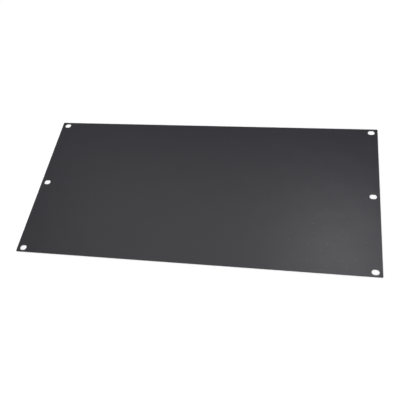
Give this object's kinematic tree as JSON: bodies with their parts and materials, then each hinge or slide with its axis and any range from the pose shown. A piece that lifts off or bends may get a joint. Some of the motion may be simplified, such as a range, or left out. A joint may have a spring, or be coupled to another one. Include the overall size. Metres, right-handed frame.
{
  "type": "rack blanking panel",
  "caption": "Flat rectangular sheet-steel panel with oval mounting slots along both short sides, which closes off unused space in an equipment rack.",
  "frame": {"origin": "middle of the rear face", "axes": "+X across the rack, to the right seen from the front; +Y up the rack; +Z out of the front face"},
  "size_m": [0.4826, 0.2214, 0.0015],
  "materials": {
    "powder_coat": "satin black powder coat with a fine even texture"
  },
  "bodies": {
    "root": {"blanking_panel": "powder_coat"}
  },
  "joints": []
}
